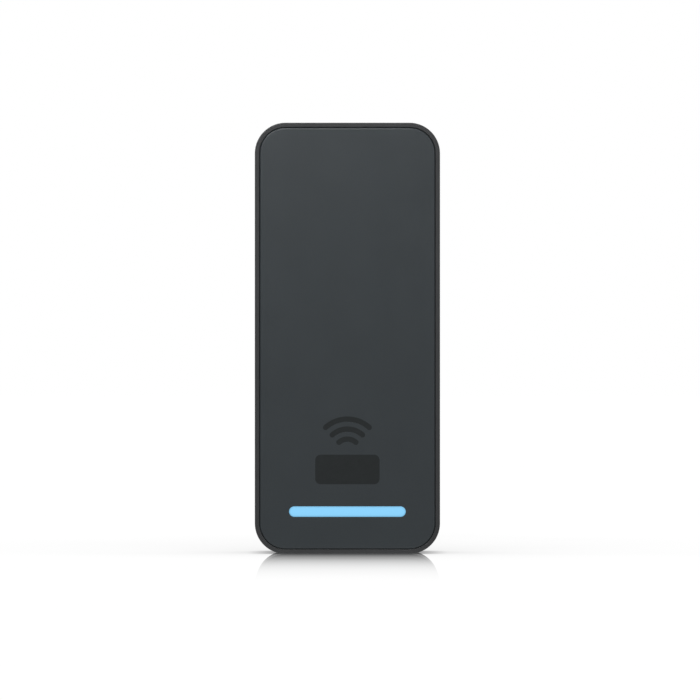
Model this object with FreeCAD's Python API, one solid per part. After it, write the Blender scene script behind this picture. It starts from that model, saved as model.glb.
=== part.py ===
import FreeCAD, Part
import math
import os

# Slim wall-mounted RFID card reader: a wall bracket, and a reader head that hooks over its top
# edge, swings down onto it and is held by one security screw from below.
# Frame: X is across, +Z is up, the wall is the plane y = 0 and the front face looks along -Y.
# The origin is the centre of the wall screws' pattern, on the wall. All sizes are millimetres.

# Reader head, outside
WIDTH = 50.0
HEIGHT = 116.4
DEPTH = 20.0
CORNER_R = 8.25
WALL = 1.8                       # moulded wall thickness
FRONT_EDGE_R = 0.35              # soft outer edge around the front
REAR_EDGE_R = 0.5
HEAD_SIZE = (WIDTH, HEIGHT)

# Depth stations: y of each layer, from the front face back to the wall
FRONT = -DEPTH
PANEL_BACK = FRONT + 1.6
WEB_FRONT = PANEL_BACK + 0.2     # the adhesive sheet fills this step
WEB_BACK = WEB_FRONT + 1.4
ANTENNA_FRONT = WEB_BACK + 0.1
ANTENNA_BACK = ANTENNA_FRONT + 0.8
FERRITE_BACK = ANTENNA_BACK + 0.4
BOARD_FRONT = -14.1
BOARD_BACK = -13.1
COVER_FRONT = -9.6
COVER_BACK = -8.0
HEAD_REAR = -1.2                 # rear edge of the skirt, just off the wall
BRACKET_FRONT = -2.2
BRACKET_BACK = -1.0              # the wall gasket fills the last millimetre

# Front panel in its rim
RIM = 1.24                       # rim width around the panel opening
RIM_CHAMFER = 0.15
PANEL_GAP = 0.07                 # open joint between rim and panel
PANEL_EDGE_R = 0.45              # rounded front edge of the panel
OPENING_R = CORNER_R - RIM
PANEL_R = OPENING_R - PANEL_GAP

# Ledge inside the skirt, which the rear cover closes onto
INNER_R = CORNER_R - WALL
LEDGE_WIDTH = 2.0
LEDGE_FRONT = COVER_FRONT - 1.8
GROOVE_INSET = 0.5
GROOVE_WIDTH = 1.0
GROOVE_DEPTH = 0.7
COVER_GAP = 0.15

# Light bar
BAR_LENGTH = 31.4
BAR_HEIGHT = 2.75
BAR_CENTRE = (0.0, -46.8)
BAR_GAP = 0.05
LENS_EDGE_R = 0.2
LENS_FLANGE = 1.0                # how far the lens reaches behind the panel all round
LENS_BACK = WEB_FRONT + 0.6
GUIDE_MARGIN = 0.3               # the light guide is this much larger than the bar all round
GUIDE_BACK = -14.95
LED_COUNT = 6
LED_SIZE = (2.8, 1.8)
LED_HEIGHT = 0.6
LED_DOME_R = 0.7
LED_DOME_HEIGHT = 0.15
LED_CUP_R = 1.2
LED_CUP_DEPTH = 0.45

# Card symbol inlay
SYMBOL_DEPTH = 0.3
CARD_SIZE = (17.4, 8.0)
CARD_CORNER_R = 1.5
CARD_CENTRE = (0.0, -35.4)
WAVE_CENTRE = (0.0, -30.6)
WAVE_RADII = (3.4, 6.1, 8.8)
WAVE_STROKE = 1.45
WAVE_HALF_ANGLE = 42.0

# Hinge: the bracket's rounded lips carry the head's hooks
HINGE_Y = -4.2
HINGE_Z = 54.3
LIP_R = 0.6
LIP_CENTRES = (-12.0, 12.0)
LIP_WIDTH = 9.0
HOOK_GAP = 0.05
HOOK_WIDTH = 11.0
HOOK_FLARE = 20.0                # degrees of free swing in the hook's mouth
HOOK_BOTTOM = HINGE_Z - 1.4
HOOK_TOP = 56.0
HOOK_REAR = -2.0
HOOK_EDGE_R = 0.5

# Wall bracket
BRACKET_SIZE = (40.0, 102.0)
BRACKET_R = 5.0
SHEET = BRACKET_BACK - BRACKET_FRONT
BEND_R = 1.0                     # outside radius of the lock tab's bend
FLANGE_FRONT = -4.6
FLANGE_HALF_LENGTH = 44.0
FLANGE_CORNER_R = 1.5
GANG_SPACING = 83.3              # screws of a single-gang wall box
ROUND_BOX_SPACING = 60.0         # screws of a round wall box
SLOT_R = 2.2
SLOT_LENGTH = 7.0
ROUND_HOLE_R = 2.1
CABLE_OPENING = (24.0, 46.0)
CABLE_OPENING_CENTRE = (0.0, -1.0)
CABLE_OPENING_R = 3.0
GASKET_MARGIN = 0.5              # foam beyond the bracket's outline and short of its opening
GASKET_HOLE_MARGIN = 0.8

# Security screw, upright, near the bottom edge; it is drawn backed out in its well
SCREW_Y = -4.9
SCREW_R = 1.5
SCREW_CHAMFER = 0.4
SCREW_HEAD_R = 2.5
SCREW_HEAD_BOTTOM = -57.9
SCREW_HEAD_TOP = SCREW_HEAD_BOTTOM + 1.7
SCREW_TIP = -50.4
RECESS_TOP = SCREW_HEAD_BOTTOM + 1.1
RECESS_R = 0.95
LOBE_R = 0.3
LOBE_COUNT = 6
CENTRE_PIN_R = 0.35
RETAINER_R = 2.65
RETAINER_HEIGHT = 0.7
THREAD_GAP = 0.08                # threads are plain cylinders that run clear
WELL_R = 2.75
WELL_TOP = -52.4
LOCK_BLOCK_HALF_WIDTH = 4.6
LOCK_BLOCK_Z = (-56.1, -51.0)
TAB_BOTTOM = -49.8
TAB_FRONT = -7.7
TAB_HALF_WIDTH = 6.0
TAB_CORNER_R = 2.0
TAB_SIDE_GAP = 0.6
NUT_R = 2.3
NUT_HEIGHT = 1.7

# Network jack, with its mouth facing down, and the bay that its plug sits in
JACK_HALF_WIDTH = 7.95
JACK_Z = (2.5, 18.0)
JACK_BACK = -2.1
JACK_SHEET = 0.3
JACK_EDGE_R = 0.35
JACK_GAP = 0.15                  # between the jack and the rear cover's window
INSERT_INSET = JACK_SHEET + 0.05
SOCKET_HALF_WIDTH = 5.9
SOCKET_Y = (-11.2, -4.4)
SOCKET_LENGTH = 11.4
LATCH_HALF_WIDTH = 3.1
LATCH_BACK = -2.9
LATCH_LENGTH = 9.5
CONTACT_COUNT = 8
CONTACT_PITCH = 1.02
CONTACT_WIDTH = 0.4
BAY_HALF_WIDTH = 9.5
BAY_Z = (-22.0, 19.8)
BAY_WALL = 1.4
BAY_FLOOR = (-12.9, -11.7)
FOAM_THICKNESS = 0.45

# Fixings inside the head
BOSS_POINTS = ((-18.3, 44.0), (18.3, 44.0), (-18.3, -40.0), (18.3, -40.0))
BOSS_R = 2.4
INSERT_R = 1.6
INSERT_LENGTH = 4.0
INSERT_WAIST = 0.2
COVER_SCREW_R = 1.0
COVER_SCREW_HEAD = (1.9, 1.0)    # radius and height
COVER_SCREW_SEAT = -8.8
COVER_SCREW_LENGTH = 4.4
POST_POINTS = ((-17.5, 22.0), (17.5, 22.0), (-17.5, -14.0), (17.5, -14.0))
POST_R = 2.2
BOARD_SCREW_R = 0.8
BOARD_SCREW_HEAD = (1.7, 1.1)
BOARD_SCREW_LENGTH = 3.0
HOLE_GAP = 0.15                  # round a screw's shank

# Boards and the antenna
BOARD_SIZE = (41.6, 104.0)
BOARD_R = 4.6
BOARD_CENTRE = (0.0, -1.0)
BOSS_GAP = 0.3                   # boards clear bosses and posts by this much
ANTENNA_SIZE = (38.0, 49.0)
ANTENNA_CENTRE = (0.0, 26.5)
ANTENNA_R = 3.0
FERRITE_SIZE = (30.0, 42.0)
COIL_SIZE = (28.0, 40.0)
COIL_TURNS = 4
COIL_PITCH = 1.4
COIL_TRACK = 0.8
COIL_THICKNESS = 0.1
HEADER_Z = 3.8
HEADER_SIZE = (8.4, 1.8)
HEADER_PINS = 4
HEADER_PIN_PITCH = 2.0

# Larger parts on the back of the main board: centre (x, z), size (x, z) and height
PROCESSOR = ((-4.0, 39.5), (8.0, 8.0), 0.9)
NFC_CHIP = ((12.0, 30.0), (5.0, 5.0), 0.85)
POE_CONTROLLER = ((15.2, -23.5), (6.0, 6.0), 0.95)
ETHERNET_TRANSFORMER = ((0.0, 27.8), (12.6, 9.6), 3.2)
SHIELD = ((-3.5, 39.5), (19.0, 11.0), 2.4)
POE_TRANSFORMER = ((-15.3, 8.5), (8.6, 9.0), 3.3)
INDUCTOR = ((-15.3, -3.3), (5.4, 5.4), 2.8)
CAPACITOR_CENTRES = ((15.4, 10.5), (15.4, 2.5))
CAPACITOR_R = 2.95
CAPACITOR_HEIGHT = 3.35
BUZZER = ((-8.1, -36.5), (9.0, 9.0), 3.0)
BUZZER_PORT_R = 1.0
RADIO_STRIP = ((10.8, 41.5), (5.6, 11.0), 2.3)
STANDOFF = 0.05                  # solder under a chip

# Tamper plunger, reset key and vent, all along Y
PLUNGER_POINT = (0.0, HINGE_Z - 4.5)
PLUNGER_R = 1.5
PLUNGER_TIP = BRACKET_FRONT - 0.05
PLUNGER_FLANGE = (-11.7, -11.1)
PLUNGER_FLANGE_R = 2.9
PLUNGER_NOSE = -12.05
PLUNGER_NOSE_R = 0.7
GUIDE_TUBE_R = 2.6
GUIDE_TUBE_BACK = COVER_BACK + 1.4
SLIDE_GAP = 0.1                  # round the plunger and the key
SPRING_WIRE_R = 0.13
SPRING_R = 2.55
SPRING_TURNS = 2.5
TAMPER_SWITCH_BACK = -12.1
RESET_POINT = (15.5, -33.0)
RESET_R = 1.6
RESET_FLANGE = (-10.6, -9.75)
RESET_FLANGE_R = 2.4
RESET_BACK = COVER_BACK + 0.5
RESET_NOSE_R = 1.1
RESET_SWITCH_BACK = -11.6
RESET_STEM_Y = (-12.3, -11.2)
RESET_STEM_R = 0.8
VENT_POINT = (-14.5, 31.0)
VENT_R = 1.5
MEMBRANE_R = 3.0
LABEL_CENTRE = (-2.0, -36.5)
LABEL_SIZE = (20.0, 17.0)

TINY = 0.01
ALONG_X = FreeCAD.Vector(1, 0, 0)
ALONG_Y = FreeCAD.Vector(0, 1, 0)
ALONG_Z = FreeCAD.Vector(0, 0, 1)


# --- building blocks ---

def box(x_range, y_range, z_range):
    """Block between a low and a high value on each axis."""
    ranges = (x_range, y_range, z_range)
    sizes = [high - low for low, high in ranges]
    corner = FreeCAD.Vector(*[low for low, high in ranges])
    return Part.makeBox(*sizes, corner)


def both_ways(half):
    return (-half, half)


def block(centre, size, y_range):
    """Block across Y from its centre and size in x and z."""
    x_range = (centre[0] - size[0] / 2, centre[0] + size[0] / 2)
    z_range = (centre[1] - size[1] / 2, centre[1] + size[1] / 2)
    return box(x_range, y_range, z_range)


def rod_x(radius, x_range):
    """Cylinder along X on the hinge axis."""
    base = FreeCAD.Vector(x_range[0], HINGE_Y, HINGE_Z)
    return Part.makeCylinder(radius, x_range[1] - x_range[0], base, ALONG_X)


def rod_y(point, radius, y_range):
    """Cylinder along Y at an (x, z) point."""
    base = FreeCAD.Vector(point[0], y_range[0], point[1])
    return Part.makeCylinder(radius, y_range[1] - y_range[0], base, ALONG_Y)


def rod_z(radius, z_range):
    """Cylinder along Z on the security screw's axis."""
    base = FreeCAD.Vector(0, SCREW_Y, z_range[0])
    return Part.makeCylinder(radius, z_range[1] - z_range[0], base, ALONG_Z)


def arc_point(centre, radius, degrees):
    turn = math.radians(degrees)
    return (centre[0] + radius * math.cos(turn), centre[1] + radius * math.sin(turn))


def arc_edge(centre, radius, start, end, y):
    """Arc in the plane y, from one angle to another in degrees."""
    points = [arc_point(centre, radius, angle) for angle in (start, (start + end) / 2, end)]
    return Part.Arc(*[FreeCAD.Vector(x, y, z) for x, z in points]).toShape()


def joined(edges):
    """Closed wire through the edges, with straight lines where two of them don't meet."""
    closed = []
    for edge, following in zip(edges, edges[1:] + edges[:1]):
        closed.append(edge)
        end = edge.valueAt(edge.LastParameter)
        start = following.valueAt(following.FirstParameter)
        if end.distanceToPoint(start) > TINY:
            closed.append(Part.makeLine(end, start))
    return Part.Wire(closed)


def deepened(wire, y_range):
    """Solid across Y from a closed wire in its front plane."""
    return Part.Face(wire).extrude(FreeCAD.Vector(0, y_range[1] - y_range[0], 0))


def plate(size, radius, y_range, centre=(0.0, 0.0)):
    """Flat plate across Y with rounded corners."""
    right = size[0] / 2 - radius
    top = size[1] / 2 - radius
    corners = ((right, top), (-right, top), (-right, -top), (right, -top))
    arcs = []
    for quarter, (x, z) in enumerate(corners):
        corner = (centre[0] + x, centre[1] + z)
        arcs.append(arc_edge(corner, radius, 90 * quarter, 90 * quarter + 90, y_range[0]))
    return deepened(joined(arcs), y_range)


def inset(size, amount):
    return (size[0] - 2 * amount, size[1] - 2 * amount)


def bar(margin, y_range):
    """Pill shape of the light bar, grown by a margin all round."""
    size = inset((BAR_LENGTH, BAR_HEIGHT), -margin)
    return plate(size, size[1] / 2, y_range, BAR_CENTRE)


def ring(outer_size, outer_r, thickness, y_range):
    """Rounded rectangular frame across Y."""
    outer = plate(outer_size, outer_r, y_range)
    inner = plate(inset(outer_size, thickness), outer_r - thickness, y_range)
    return outer.cut(inner)


def side_profile(points, x_range):
    """Solid with the same (y, z) outline from one x to another."""
    corners = [FreeCAD.Vector(x_range[0], y, z) for y, z in points]
    face = Part.Face(Part.makePolygon(corners + corners[:1]))
    return face.extrude(FreeCAD.Vector(x_range[1] - x_range[0], 0, 0))


def fused(shapes):
    return shapes[0].multiFuse(shapes[1:]).removeSplitter()


def edges_where(shape, test):
    """Edges whose bounding box passes a test."""
    return [edge for edge in shape.Edges if test(edge.BoundBox)]


def edges_at_y(shape, y):
    """Edges that lie in the plane y."""
    return edges_where(shape, lambda b: abs(b.YMin - y) < TINY and abs(b.YMax - y) < TINY)


def edges_at_z(shape, z):
    """Edges that lie in the plane z."""
    return edges_where(shape, lambda b: abs(b.ZMin - z) < TINY and abs(b.ZMax - z) < TINY)


def edges_along_y(shape, length):
    """Edges that run along Y for more than a length."""
    return edges_where(shape, lambda b: b.YLength > length)


# --- reader head: housing, panel and light bar ---

def gasket_ring():
    """Path of the sealing cord, in the ledge's groove."""
    size = inset(inset(HEAD_SIZE, WALL), GROOVE_INSET)
    y_range = (COVER_FRONT - GROOVE_DEPTH, COVER_FRONT)
    return ring(size, INNER_R - GROOVE_INSET, GROOVE_WIDTH, y_range)


def rim_opening():
    """Space inside the rim, with a small bevel at its front edge."""
    size = inset(HEAD_SIZE, RIM)
    opening = plate(size, OPENING_R, (FRONT, WEB_FRONT))
    mouth = plate(inset(size, -RIM_CHAMFER), OPENING_R + RIM_CHAMFER, (FRONT - 1, FRONT + RIM_CHAMFER))
    bevel = mouth.makeChamfer(RIM_CHAMFER - TINY / 10, edges_at_y(mouth, FRONT + RIM_CHAMFER))
    return opening.fuse(bevel)


def housing():
    """Skirt and rim in one moulding, with a web behind the panel that carries everything."""
    inner_size = inset(HEAD_SIZE, WALL)
    shell = plate(HEAD_SIZE, CORNER_R, (FRONT, HEAD_REAR))
    shell = shell.makeFillet(FRONT_EDGE_R, edges_at_y(shell, FRONT))
    shell = shell.makeFillet(REAR_EDGE_R, edges_at_y(shell, HEAD_REAR))
    chamber = plate(inner_size, INNER_R, (WEB_BACK, HEAD_REAR))
    screw_hole = rod_z(WELL_R, (-HEIGHT / 2 - 1, -HEIGHT / 2 + WALL + 1))
    lens_seat = bar(LENS_FLANGE + 0.1, (WEB_FRONT, LENS_BACK))
    guide_slot = bar(GUIDE_MARGIN + 0.1, (WEB_FRONT, WEB_BACK))
    shell = shell.cut([rim_opening(), chamber, screw_hole, lens_seat, guide_slot])
    ledge = ring(inner_size, INNER_R, LEDGE_WIDTH, (LEDGE_FRONT, COVER_FRONT)).cut(gasket_ring())
    bosses = [rod_y(point, BOSS_R, (WEB_BACK, COVER_FRONT)) for point in BOSS_POINTS]
    posts = [rod_y(point, POST_R, (WEB_BACK, BOARD_FRONT)) for point in POST_POINTS]
    shell = fused([shell, ledge] + bosses + posts)
    insert_hole = (COVER_FRONT - INSERT_LENGTH - 1, COVER_FRONT)
    post_hole = (BOARD_BACK - BOARD_SCREW_LENGTH - 0.2, BOARD_FRONT)
    holes = [rod_y(point, INSERT_R, insert_hole) for point in BOSS_POINTS]
    holes += [rod_y(point, BOARD_SCREW_R + 0.05, post_hole) for point in POST_POINTS]
    return shell.cut(holes)


def wave(radius, y_range):
    """One arc of the symbol, with round ends."""
    start = 90 - WAVE_HALF_ANGLE
    end = 90 + WAVE_HALF_ANGLE
    half = WAVE_STROKE / 2
    outer = arc_edge(WAVE_CENTRE, radius + half, start, end, y_range[0])
    inner = arc_edge(WAVE_CENTRE, radius - half, end, start, y_range[0])
    band = deepened(joined([outer, inner]), y_range)
    ends = [rod_y(arc_point(WAVE_CENTRE, radius, angle), half, y_range) for angle in (start, end)]
    return fused([band] + ends)


def card_symbol():
    """Generic pictogram: a card with three waves above it, let into the panel."""
    y_range = (FRONT, FRONT + SYMBOL_DEPTH)
    card = plate(CARD_SIZE, CARD_CORNER_R, y_range, CARD_CENTRE)
    return Part.makeCompound([card] + [wave(radius, y_range) for radius in WAVE_RADII])


def front_panel():
    panel = plate(inset(HEAD_SIZE, RIM + PANEL_GAP), PANEL_R, (FRONT, PANEL_BACK))
    panel = panel.makeFillet(PANEL_EDGE_R, edges_at_y(panel, FRONT))
    return panel.cut([bar(BAR_GAP, (FRONT, PANEL_BACK))] + card_symbol().Solids)


def panel_adhesive():
    """Double-sided sheet behind the panel, with a window for the lens."""
    margin = RIM + PANEL_GAP + 0.3
    y_range = (PANEL_BACK, WEB_FRONT)
    sheet = plate(inset(HEAD_SIZE, margin), CORNER_R - margin, y_range)
    return sheet.cut(bar(LENS_FLANGE + 0.2, y_range))


def light_bar_lens():
    """Lens that fills the panel's slot, with a flange that holds it from behind."""
    face = bar(0, (FRONT, PANEL_BACK))
    face = face.makeFillet(LENS_EDGE_R, edges_at_y(face, FRONT))
    return fused([face, bar(LENS_FLANGE, (PANEL_BACK, LENS_BACK))])


def led_centres():
    pitch = BAR_LENGTH / LED_COUNT
    first = -pitch * (LED_COUNT - 1) / 2
    return [(first + pitch * index, BAR_CENTRE[1]) for index in range(LED_COUNT)]


def light_guide():
    """Diffusing bar between the LEDs and the lens, with a cup over each LED."""
    cup_y = (GUIDE_BACK - LED_CUP_DEPTH, GUIDE_BACK)
    cups = [rod_y(centre, LED_CUP_R, cup_y) for centre in led_centres()]
    return bar(GUIDE_MARGIN, (LENS_BACK, GUIDE_BACK)).cut(cups)


def status_leds():
    face = BOARD_FRONT - LED_HEIGHT
    leds = []
    for centre in led_centres():
        package = block(centre, LED_SIZE, (face, BOARD_FRONT))
        dome = rod_y(centre, LED_DOME_R, (face - LED_DOME_HEIGHT, face))
        leds.append(fused([package, dome]))
    return Part.makeCompound(leds)


# --- reader head: boards and antenna ---

def clearances(points, radius, y_range):
    """Room around bosses or posts."""
    return [rod_y(point, radius + BOSS_GAP, y_range) for point in points]


def main_board():
    y_range = (BOARD_FRONT, BOARD_BACK)
    board = plate(BOARD_SIZE, BOARD_R, y_range, BOARD_CENTRE)
    holes = [rod_y(point, BOARD_SCREW_R + HOLE_GAP, y_range) for point in POST_POINTS]
    return board.cut(clearances(BOSS_POINTS, BOSS_R, y_range) + holes)


def antenna_board():
    y_range = (ANTENNA_FRONT, ANTENNA_BACK)
    board = plate(ANTENNA_SIZE, ANTENNA_R, y_range, ANTENNA_CENTRE)
    bosses = clearances(BOSS_POINTS, BOSS_R, y_range)
    return board.cut(bosses + clearances(POST_POINTS, POST_R, y_range))


def antenna_coil():
    """Square spiral of copper track on the back of the antenna board."""
    y_range = (ANTENNA_BACK, ANTENNA_BACK + COIL_THICKNESS)
    half = COIL_TRACK / 2
    tracks = []
    for turn in range(COIL_TURNS):
        right = COIL_SIZE[0] / 2 - turn * COIL_PITCH
        top = COIL_SIZE[1] / 2 - turn * COIL_PITCH
        low = ANTENNA_CENTRE[1] - top
        high = ANTENNA_CENTRE[1] + top
        entry = -right - COIL_PITCH if turn else -right
        across = (-right - half, right + half)
        tracks.append(box((entry - half, right + half), y_range, (low - half, low + half)))
        tracks.append(box((right - half, right + half), y_range, (low - half, high + half)))
        tracks.append(box(across, y_range, (high - half, high + half)))
        left_leg = (low + COIL_PITCH - half, high + half)
        tracks.append(box((-right - half, -right + half), y_range, left_leg))
    return fused(tracks)


def ferrite_sheet():
    y_range = (ANTENNA_BACK + COIL_THICKNESS, FERRITE_BACK)
    return plate(FERRITE_SIZE, 1.5, y_range, (0.0, ANTENNA_CENTRE[1] + 0.5))


def antenna_header():
    """Strip of pins that joins the antenna board to the main board."""
    body = block((0.0, HEADER_Z), HEADER_SIZE, (ANTENNA_BACK + 0.2, BOARD_FRONT - 0.2))
    pins = []
    for index in range(HEADER_PINS):
        x = HEADER_PIN_PITCH * (index - (HEADER_PINS - 1) / 2)
        pins.append(rod_y((x, HEADER_Z), 0.35, (ANTENNA_BACK, BOARD_FRONT)))
    return fused([body] + pins)


# --- parts on the back of the main board ---

def bevelled(centre, size, y_range, bevel):
    """Block whose far face has bevelled edges."""
    body = block(centre, size, y_range)
    return body.makeChamfer(bevel, edges_at_y(body, y_range[1]))


def chip(place):
    """Flat package that stands a hair off the board on its solder."""
    centre, size, height = place
    body = bevelled(centre, size, (BOARD_BACK + STANDOFF, BOARD_BACK + height), 0.12)
    solder = block(centre, inset(size, 0.4), (BOARD_BACK, BOARD_BACK + STANDOFF))
    return fused([body, solder])


def processor_chip():
    return chip(PROCESSOR)


def nfc_chip():
    return chip(NFC_CHIP)


def poe_controller():
    return chip(POE_CONTROLLER)


def ethernet_transformer():
    """Moulded block with a row of flat legs on each side."""
    centre, size, height = ETHERNET_TRANSFORMER
    body = bevelled(centre, size, (BOARD_BACK, BOARD_BACK + height), 0.3)
    leg_count = 6
    pitch = (size[1] - 1.0) / (leg_count - 1)
    legs = []
    for index in range(leg_count):
        z = centre[1] + pitch * (index - (leg_count - 1) / 2)
        legs.append(block((centre[0], z), (size[0] + 1.4, 0.4), (BOARD_BACK, BOARD_BACK + 0.2)))
    return fused([body] + legs)


def radio_shield():
    """Drawn steel can over the processor, with a grid of vent holes."""
    centre, size, height = SHIELD
    sheet = 0.2
    top = BOARD_BACK + height
    outer = block(centre, size, (BOARD_BACK, top))
    outer = outer.makeFillet(0.4, edges_at_y(outer, top))
    inner = block(centre, inset(size, sheet), (BOARD_BACK, top - sheet))
    vents = []
    for column in range(-2, 3):
        for row in range(-1, 2):
            point = (centre[0] + 3.0 * column, centre[1] + 3.0 * row)
            vents.append(rod_y(point, 0.5, (top - 2 * sheet, top)))
    return outer.cut([inner] + vents)


def poe_transformer():
    """Low ferrite core with its winding in the middle, on two rows of pins."""
    centre, size, height = POE_TRANSFORMER
    y_range = (BOARD_BACK + 0.3, BOARD_BACK + height)
    gap = (size[0], 3.6)
    core = block(centre, size, y_range).cut(block(centre, gap, y_range))
    winding = block(centre, (size[0] - 0.8, gap[1]), (y_range[0] + 0.2, y_range[1] - 0.3))
    pins = []
    for side in (-1, 1):
        for index in range(4):
            point = (centre[0] + 2.2 * (index - 1.5), centre[1] + side * 3.8)
            pins.append(rod_y(point, 0.35, (BOARD_BACK, y_range[0])))
    return fused([core, winding] + pins)


def power_inductor():
    centre, size, height = INDUCTOR
    body = block(centre, size, (BOARD_BACK, BOARD_BACK + height))
    return body.makeFillet(0.7, edges_along_y(body, 1.0))


def filter_capacitors():
    """Two round polymer cans on square bases."""
    top = BOARD_BACK + CAPACITOR_HEIGHT
    seat = BOARD_BACK + 0.5
    cans = []
    for centre in CAPACITOR_CENTRES:
        base = block(centre, (6.4, 6.4), (BOARD_BACK, seat))
        can = rod_y(centre, CAPACITOR_R, (seat, top))
        can = can.makeFillet(0.3, edges_at_y(can, top))
        cans.append(fused([base, can]))
    return Part.makeCompound(cans)


def buzzer():
    """Square sounder with a port in its top."""
    centre, size, height = BUZZER
    top = BOARD_BACK + height
    body = block(centre, size, (BOARD_BACK, top))
    body = body.makeFillet(0.6, edges_along_y(body, 1.0))
    return body.cut(rod_y(centre, BUZZER_PORT_R, (top - 1.8, top)))


def bluetooth_antenna():
    """Slit metal strip that stands on two feet beside the shield can."""
    centre, size, height = RADIO_STRIP
    sheet = 0.3
    top = BOARD_BACK + height
    strip = block(centre, size, (top - sheet, top))
    slit = block((centre[0], centre[1] - 1.25), (1.6, size[1] - 2.5), (top - sheet, top))
    low = centre[1] - size[1] / 2
    feet = []
    for side in (-1, 1):
        x = centre[0] + side * (size[0] / 2 - 1.0)
        feet.append(block((x, low + sheet / 2), (2.0, sheet), (BOARD_BACK, top)))
    return fused([strip.cut(slit)] + feet)


# --- network jack ---

def jack_shell():
    """Plated steel shield, open on the board side, with the plug's mouth facing down."""
    low, high = JACK_Z
    outer = box(both_ways(JACK_HALF_WIDTH), (BOARD_BACK, JACK_BACK), JACK_Z)
    outer = outer.makeFillet(JACK_EDGE_R, edges_where(outer, lambda b: b.ZLength > 5))
    inside = (low + JACK_SHEET, high - JACK_SHEET)
    inner = box(both_ways(JACK_HALF_WIDTH - JACK_SHEET), (BOARD_BACK, JACK_BACK - JACK_SHEET), inside)
    mouth_z = (low, low + 1)
    mouth = box(both_ways(SOCKET_HALF_WIDTH), SOCKET_Y, mouth_z)
    latch = box(both_ways(LATCH_HALF_WIDTH), (SOCKET_Y[1], LATCH_BACK), mouth_z)
    return outer.cut([inner, mouth, latch])


def jack_insert():
    """Moulded body of the jack: the stepped socket for plug and latch, and a comb for the wires."""
    low = JACK_Z[0] + INSERT_INSET
    body_y = (BOARD_BACK, JACK_BACK - INSERT_INSET)
    body = box(both_ways(JACK_HALF_WIDTH - INSERT_INSET), body_y, (low, JACK_Z[1] - INSERT_INSET))
    socket = box(both_ways(SOCKET_HALF_WIDTH), SOCKET_Y, (low, low + SOCKET_LENGTH))
    latch_y = (SOCKET_Y[1], LATCH_BACK)
    latch = box(both_ways(LATCH_HALF_WIDTH), latch_y, (low, low + LATCH_LENGTH))
    comb_y = (SOCKET_Y[0] - 0.9, SOCKET_Y[0])
    comb = box(both_ways(CONTACT_PITCH * CONTACT_COUNT / 2), comb_y, (low + 2.0, low + 13.2))
    return body.cut([socket, latch, comb])


def jack_contacts():
    """Eight sprung wires that rise into the socket from its board side."""
    low = JACK_Z[0] + INSERT_INSET
    floor = SOCKET_Y[0] - 0.8
    outline = (
        (floor, low + 2.6),
        (floor, low + 13.0),
        (floor + 0.3, low + 13.0),
        (floor + 0.3, low + 6.0),
        (floor + 3.0, low + 9.4),
        (floor + 3.2, low + 9.1),
        (floor + 0.3, low + 2.6),
    )
    wires = []
    for index in range(CONTACT_COUNT):
        left = CONTACT_PITCH * (index - (CONTACT_COUNT - 1) / 2) - CONTACT_WIDTH / 2
        wires.append(side_profile(outline, (left, left + CONTACT_WIDTH)))
    return Part.makeCompound(wires)


def jack_gasket():
    """Foam frame around the jack, on the floor of the plug bay."""
    y_range = (BAY_FLOOR[1], BAY_FLOOR[1] + FOAM_THICKNESS)
    outer = box(both_ways(BAY_HALF_WIDTH - 0.1), y_range, (JACK_Z[0] - 1.3, BAY_Z[1] - 0.1))
    hole = box(both_ways(JACK_HALF_WIDTH + 0.05), y_range, (JACK_Z[0] - 0.05, JACK_Z[1] + 0.05))
    return outer.cut(hole)


# --- rear cover and what it carries ---

def hook(centre):
    """Saddle that hangs on the bracket's lip: a round seat whose mouth flares downwards."""
    x_range = (centre - HOOK_WIDTH / 2, centre + HOOK_WIDTH / 2)
    saddle = box(x_range, (COVER_BACK, HOOK_REAR), (HOOK_BOTTOM, HOOK_TOP))
    rear_edges = edges_where(saddle, lambda b: b.XLength > 5 and b.YMin > HOOK_REAR - TINY)
    saddle = saddle.makeFillet(HOOK_EDGE_R, rear_edges)
    seat_r = LIP_R + HOOK_GAP
    drop = HINGE_Z - HOOK_BOTTOM + 1
    flare = drop * math.tan(math.radians(HOOK_FLARE))
    mouth = (
        (HINGE_Y - seat_r, HINGE_Z),
        (HINGE_Y + seat_r, HINGE_Z),
        (HINGE_Y + seat_r + flare, HINGE_Z - drop),
        (HINGE_Y - seat_r, HINGE_Z - drop),
    )
    return saddle.cut([rod_x(seat_r, x_range), side_profile(mouth, x_range)])


def lock_block():
    """Block at the bottom edge that holds the security screw."""
    rear = HEAD_REAR - 0.2
    shape = box(both_ways(LOCK_BLOCK_HALF_WIDTH), (COVER_BACK, rear), LOCK_BLOCK_Z)
    return shape.makeFillet(1.0, edges_where(shape, lambda b: b.ZLength > 3 and b.YMin > rear - TINY))


def cover_holes():
    """Openings through the rear cover for the screw, plunger, key, vent and cover screws."""
    through = (COVER_FRONT, COVER_BACK)
    holes = [
        rod_z(WELL_R, (LOCK_BLOCK_Z[0] - 1, WELL_TOP)),
        rod_z(SCREW_R + SLIDE_GAP, (WELL_TOP, LOCK_BLOCK_Z[1])),
        rod_y(PLUNGER_POINT, PLUNGER_R + SLIDE_GAP, (COVER_FRONT, GUIDE_TUBE_BACK)),
        rod_y(RESET_POINT, RESET_R + SLIDE_GAP, through),
        rod_y(VENT_POINT, VENT_R, through),
        rod_y(VENT_POINT, MEMBRANE_R + 0.1, (COVER_BACK - 0.3, COVER_BACK)),
    ]
    for point in BOSS_POINTS:
        holes.append(rod_y(point, COVER_SCREW_R + HOLE_GAP, through))
        holes.append(rod_y(point, COVER_SCREW_HEAD[0] + 0.2, (COVER_SCREW_SEAT, COVER_BACK)))
    return holes


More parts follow.
